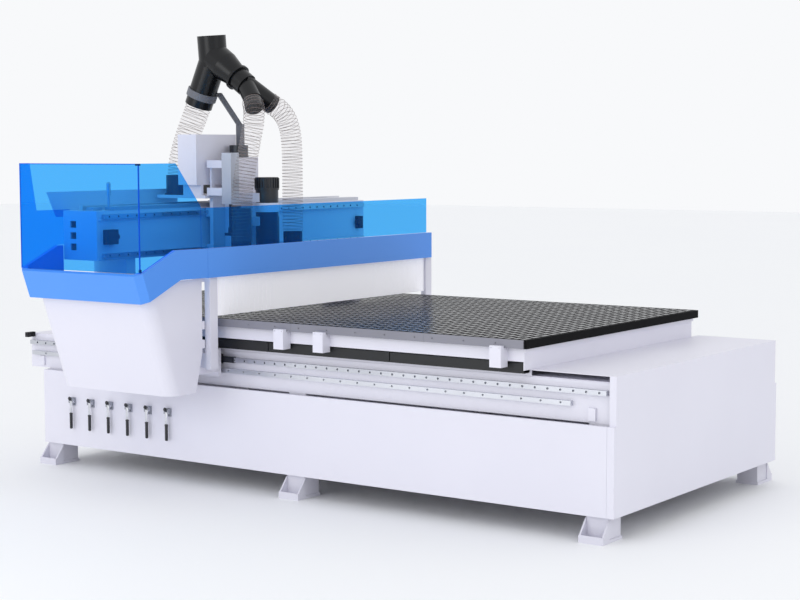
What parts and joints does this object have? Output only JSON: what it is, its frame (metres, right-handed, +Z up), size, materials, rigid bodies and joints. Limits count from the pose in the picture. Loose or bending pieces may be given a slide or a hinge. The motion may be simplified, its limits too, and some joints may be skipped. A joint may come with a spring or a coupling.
{
  "type": "cnc router",
  "caption": "Gantry CNC router with a long vacuum table, travelling portal, vertical spindle head, blue guards and dust extraction hoses.",
  "frame": {"origin": "floor under the middle of the machine's bounding box", "axes": "+X along the bed towards its bare right end, +Y across the bed away from the valve side, +Z up"},
  "size_m": [4.51, 3.124, 2.8713],
  "materials": {
    "white_paint": "satin powder coat",
    "frame_paint": "satin powder coat",
    "blue_paint": "satin powder coat",
    "blue_acrylic": "transparent blue acrylic",
    "rail_steel": "ground",
    "rack_steel": "ground",
    "gear_steel": "machined",
    "block_steel": "satin",
    "table_phenolic": "satin",
    "bar_aluminium": "anodised grey",
    "channel_black": "satin",
    "pin_steel": "ground",
    "valve_brass": "cast, nickel plated",
    "lever_black": "satin grip",
    "pipe_pvc": "satin",
    "rubber": "matt",
    "motor_black": "satin",
    "curtain_pvc": "satin flexible",
    "tray_aluminium": "satin",
    "duct_plastic": "satin moulded",
    "arm_grey": "satin",
    "hose_pu": "clear polyurethane with steel helix",
    "hood_black": "satin",
    "cylinder_aluminium": "anodised"
  },
  "bodies": {
    "bed": {"base_frame": "frame_paint", "rail_beams": "white_paint", "side_panels": "white_paint", "left_end_panel": "white_paint", "end_cover": "white_paint", "feet": "frame_paint", "x_rails": "rail_steel", "x_racks": "rack_steel", "table_plinth": "white_paint", "table_top": "table_phenolic", "table_side_bars": "bar_aluminium", "cable_channels": "channel_black", "pin_housings": "white_paint", "valve_bodies": "valve_brass", "vacuum_pipes": "pipe_pvc", "end_stops": "rubber"},
    "gantry": {"near_leg": "white_paint", "far_leg": "white_paint", "x_blocks": "block_steel", "x_drive_motors": "motor_black", "gantry_beam": "white_paint", "y_rails": "rail_steel", "y_rack": "rack_steel", "y_bumpers": "rubber", "fascia": "blue_paint", "strip_curtain": "curtain_pvc", "cover_posts": "white_paint", "low_shield": "blue_acrylic", "nose_tub": "white_paint", "nose_band": "blue_paint", "nose_glass": "blue_acrylic", "rear_cover": "white_paint", "cable_tray": "tray_aluminium"},
    "near_pinion": {"near_x_pinion": "gear_steel"},
    "far_pinion": {"far_x_pinion": "gear_steel"},
    "head": {"y_carriage": "white_paint", "y_drive_motor": "motor_black", "electrics_box": "white_paint", "duct": "duct_plastic", "duct_arm": "arm_grey", "dust_hoses": "hose_pu", "rear_port": "hood_black", "side_hood": "hood_black", "z_motor": "motor_black", "lift_cylinder": "cylinder_aluminium"},
    "head_pinion": {"y_pinion": "gear_steel"},
    "lift_screw": {"z_screw": "gear_steel"},
    "spindle_slide": {"z_slide": "white_paint", "spindle_motor": "motor_black"},
    "spindle": {"spindle_shaft": "gear_steel"},
    "hood": {"dust_hood": "hood_black"},
    "pin_1": {"locating_pin_1": "pin_steel"},
    "pin_2": {"locating_pin_2": "pin_steel"},
    "pin_3": {"locating_pin_3": "pin_steel"},
    "lever_1": {"valve_lever_1": "lever_black"},
    "lever_2": {"valve_lever_2": "lever_black"},
    "lever_3": {"valve_lever_3": "lever_black"},
    "lever_4": {"valve_lever_4": "lever_black"},
    "lever_5": {"valve_lever_5": "lever_black"},
    "lever_6": {"valve_lever_6": "lever_black"}
  },
  "joints": [
    {"name": "gantry_travel", "type": "slide", "parent": "bed", "child": "gantry", "axis": [1, 0, 0], "range_m": [-0.95, 2.45]},
    {"name": "near_pinion_spin", "type": "hinge", "parent": "gantry", "child": "near_pinion", "pos_m": [-0.875, -0.7, 0.692], "axis": [0, 1, 0], "range_deg": [-4700, 1850]},
    {"name": "far_pinion_spin", "type": "hinge", "parent": "gantry", "child": "far_pinion", "pos_m": [-0.875, 1.378, 0.692], "axis": [0, 1, 0], "range_deg": [-4700, 1850]},
    {"name": "head_travel", "type": "slide", "parent": "gantry", "child": "head", "axis": [0, 1, 0], "range_m": [-0.68, 1.2]},
    {"name": "head_pinion_spin", "type": "hinge", "parent": "head", "child": "head_pinion", "pos_m": [-1.338, 0.15, 1.75], "axis": [0, 0, 1], "range_deg": [-2320, 1360]},
    {"name": "spindle_lift", "type": "slide", "parent": "head", "child": "spindle_slide", "axis": [0, 0, 1], "range_m": [-0.2, 0]},
    {"name": "lift_screw_spin", "type": "hinge", "parent": "head", "child": "lift_screw", "pos_m": [-0.975, 0.007, 1.7], "axis": [0, 0, 1], "range_deg": [-20, 7260]},
    {"name": "spindle_spin", "type": "hinge", "parent": "spindle_slide", "child": "spindle", "pos_m": [-0.735, 0.007, 1.6], "axis": [0, 0, 1], "continuous": true},
    {"name": "hood_lift", "type": "slide", "parent": "head", "child": "hood", "axis": [0, 0, 1], "range_m": [-0.18, 0]},
    {"name": "pin_1_rise", "type": "slide", "parent": "bed", "child": "pin_1", "axis": [0, 0, 1], "range_m": [0, 0.055]},
    {"name": "pin_2_rise", "type": "slide", "parent": "bed", "child": "pin_2", "axis": [0, 0, 1], "range_m": [0, 0.055]},
    {"name": "pin_3_rise", "type": "slide", "parent": "bed", "child": "pin_3", "axis": [0, 0, 1], "range_m": [0, 0.055]},
    {"name": "lever_1_turn", "type": "hinge", "parent": "bed", "child": "lever_1", "pos_m": [-1.806, -0.757, 0.44], "axis": [-1, 0, 0], "range_deg": [0, 90]},
    {"name": "lever_2_turn", "type": "hinge", "parent": "bed", "child": "lever_2", "pos_m": [-1.634, -0.757, 0.44], "axis": [-1, 0, 0], "range_deg": [0, 90]},
    {"name": "lever_3_turn", "type": "hinge", "parent": "bed", "child": "lever_3", "pos_m": [-1.462, -0.757, 0.44], "axis": [-1, 0, 0], "range_deg": [0, 90]},
    {"name": "lever_4_turn", "type": "hinge", "parent": "bed", "child": "lever_4", "pos_m": [-1.29, -0.757, 0.44], "axis": [-1, 0, 0], "range_deg": [0, 90]},
    {"name": "lever_5_turn", "type": "hinge", "parent": "bed", "child": "lever_5", "pos_m": [-1.118, -0.757, 0.44], "axis": [-1, 0, 0], "range_deg": [0, 90]},
    {"name": "lever_6_turn", "type": "hinge", "parent": "bed", "child": "lever_6", "pos_m": [-0.946, -0.757, 0.44], "axis": [-1, 0, 0], "range_deg": [0, 90]}
  ],
  "couplings": [
    {"joint": "near_pinion_spin", "follows": "gantry_travel", "rad_per_m": -33.333},
    {"joint": "far_pinion_spin", "follows": "gantry_travel", "rad_per_m": -33.333},
    {"joint": "head_pinion_spin", "follows": "head_travel", "rad_per_m": -33.333},
    {"joint": "lift_screw_spin", "follows": "spindle_lift", "rad_per_m": -628.32}
  ]
}
